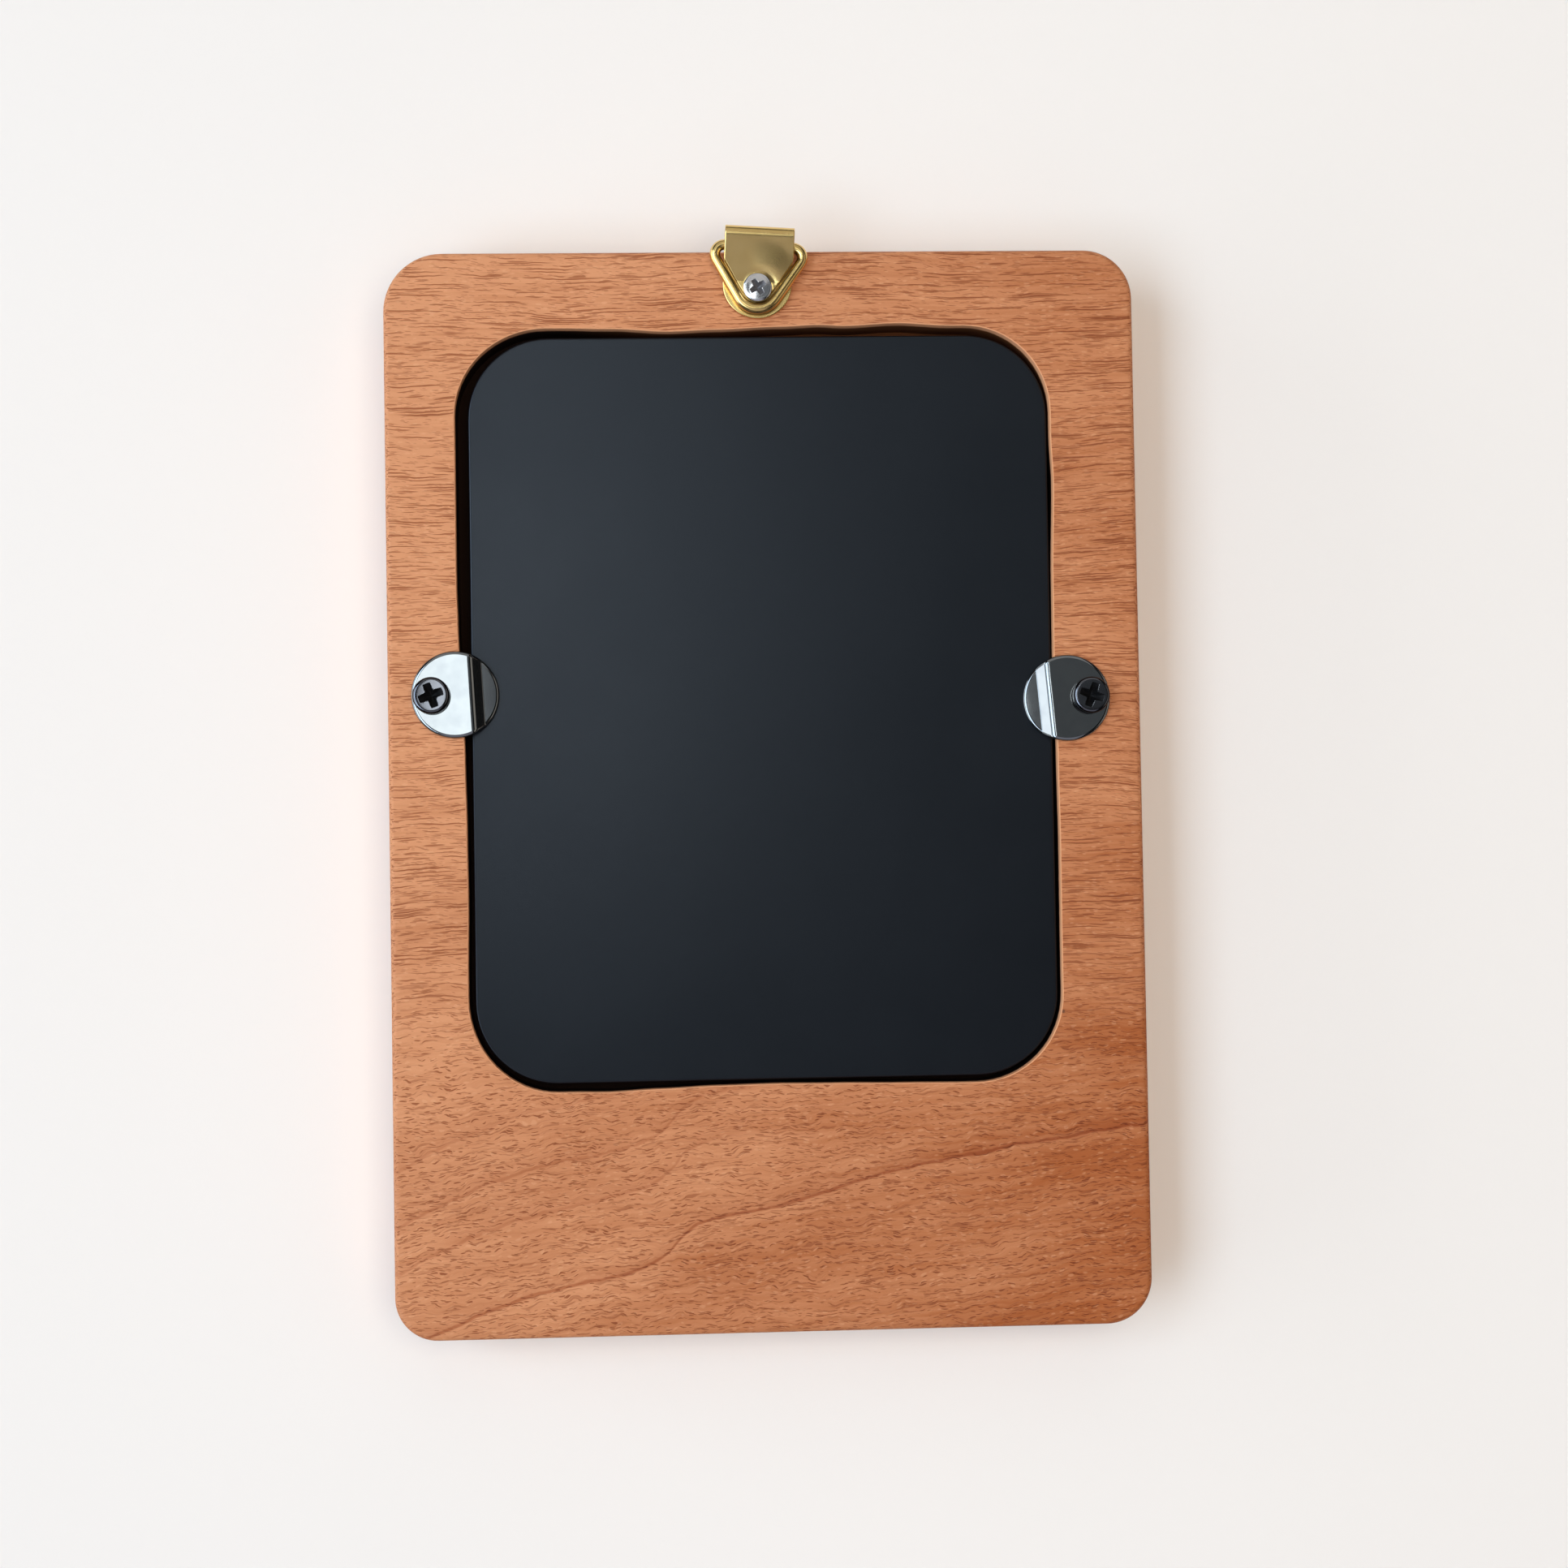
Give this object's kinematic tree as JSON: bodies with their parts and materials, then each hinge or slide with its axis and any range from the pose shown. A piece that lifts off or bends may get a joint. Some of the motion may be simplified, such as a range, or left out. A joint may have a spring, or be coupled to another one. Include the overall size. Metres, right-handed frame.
{
  "type": "wooden picture frame",
  "caption": "Thick wooden picture frame with a rebated opening, glazing, print and black backing held by offset turn buttons, and a brass strap hanger with a wire ring.",
  "frame": {"origin": "under the middle of the whole part's box, on the plane of the front face, the frame lying face down", "axes": "+Z out of the back, +Y towards the hanger at the top edge, +X right as seen from the back"},
  "size_m": [0.115, 0.1684, 0.0187],
  "materials": {
    "wood": "sanded, oiled, open pores",
    "acrylic": "clear, polished",
    "print": "semi-gloss photographic paper",
    "black_panel": "satin",
    "black_nickel": "black nickel, polished",
    "black_steel": "black oxide",
    "brass": "bright, lightly brushed",
    "bright_steel": "zinc plated"
  },
  "bodies": {
    "frame": {"frame_body": "wood", "glazing": "acrylic", "photo_print": "print", "backing_board": "black_panel", "turn_button_screw_left": "black_steel", "turn_button_screw_right": "black_steel", "hanger_strap": "brass", "hanger_screw": "bright_steel"},
    "left_button": {"turn_button_left": "black_nickel"},
    "right_button": {"turn_button_right": "black_nickel"},
    "ring": {"hanger_ring": "brass"}
  },
  "joints": [
    {"name": "left_button_turn", "type": "hinge", "parent": "frame", "child": "left_button", "pos_m": [-0.05077, 0.013, 0.0151], "axis": [0, 0, 1], "range_deg": [-180, 180], "deforming": ["turn_button_left"]},
    {"name": "right_button_turn", "type": "hinge", "parent": "frame", "child": "right_button", "pos_m": [0.0496, 0.01175, 0.0151], "axis": [0, 0, 1], "range_deg": [-180, 180], "deforming": ["turn_button_right"]},
    {"name": "ring_swing", "type": "hinge", "parent": "frame", "child": "ring", "pos_m": [-0.00008, 0.08109, 0.0167], "axis": [-0.9983, 0.0576, 0], "range_deg": [0, 240]}
  ]
}
